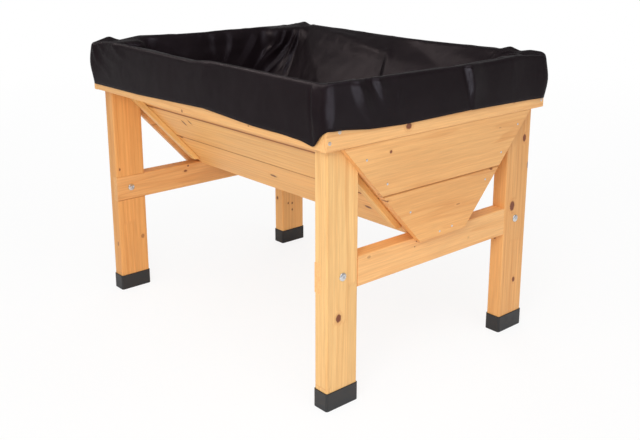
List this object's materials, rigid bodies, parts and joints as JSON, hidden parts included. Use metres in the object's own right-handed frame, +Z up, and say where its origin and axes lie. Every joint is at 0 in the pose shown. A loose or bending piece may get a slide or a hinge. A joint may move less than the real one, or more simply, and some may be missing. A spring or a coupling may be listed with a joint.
{
  "type": "raised planter",
  "caption": "Raised wooden planter: a V-shaped trough of tongue-and-groove boards on a legged frame, with a deep rim and a fabric liner folded over it.",
  "frame": {"origin": "centre of the footprint, at floor level under the foot caps", "axes": "+X along the trough, +Y towards the back long side, +Z up"},
  "size_m": [1.0252, 0.7652, 0.7526],
  "materials": {
    "frame_wood": "stained softwood, satin",
    "board_wood": "stained softwood boards, satin",
    "rail_wood": "stained softwood, satin",
    "foot_plastic": "matte moulded",
    "zinc_steel": "zinc plated",
    "liner_fabric": "woven, faint sheen"
  },
  "bodies": {
    "root": {"back_right_leg": "frame_wood", "back_right_foot_cap": "foot_plastic", "back_right_strut": "frame_wood", "back_right_batten": "board_wood", "back_right_bolt": "zinc_steel", "back_right_cap_nut": "zinc_steel", "front_right_leg": "frame_wood", "front_right_foot_cap": "foot_plastic", "front_right_strut": "frame_wood", "front_right_batten": "board_wood", "front_right_bolt": "zinc_steel", "front_right_cap_nut": "zinc_steel", "right_cross_rail": "frame_wood", "right_rim_rail": "rail_wood", "right_end_board_1": "board_wood", "right_end_board_2": "board_wood", "front_left_leg": "frame_wood", "front_left_foot_cap": "foot_plastic", "front_left_strut": "frame_wood", "front_left_batten": "board_wood", "front_left_bolt": "zinc_steel", "front_left_cap_nut": "zinc_steel", "back_left_leg": "frame_wood", "back_left_foot_cap": "foot_plastic", "back_left_strut": "frame_wood", "back_left_batten": "board_wood", "back_left_bolt": "zinc_steel", "back_left_cap_nut": "zinc_steel", "left_cross_rail": "frame_wood", "left_rim_rail": "rail_wood", "left_end_board_1": "board_wood", "left_end_board_2": "board_wood", "back_side_board_1": "board_wood", "back_side_board_2": "board_wood", "back_side_board_3": "board_wood", "back_rim_rail": "rail_wood", "front_side_board_1": "board_wood", "front_side_board_2": "board_wood", "front_side_board_3": "board_wood", "front_rim_rail": "rail_wood", "floor_board": "board_wood", "liner": "liner_fabric"}
  },
  "joints": []
}
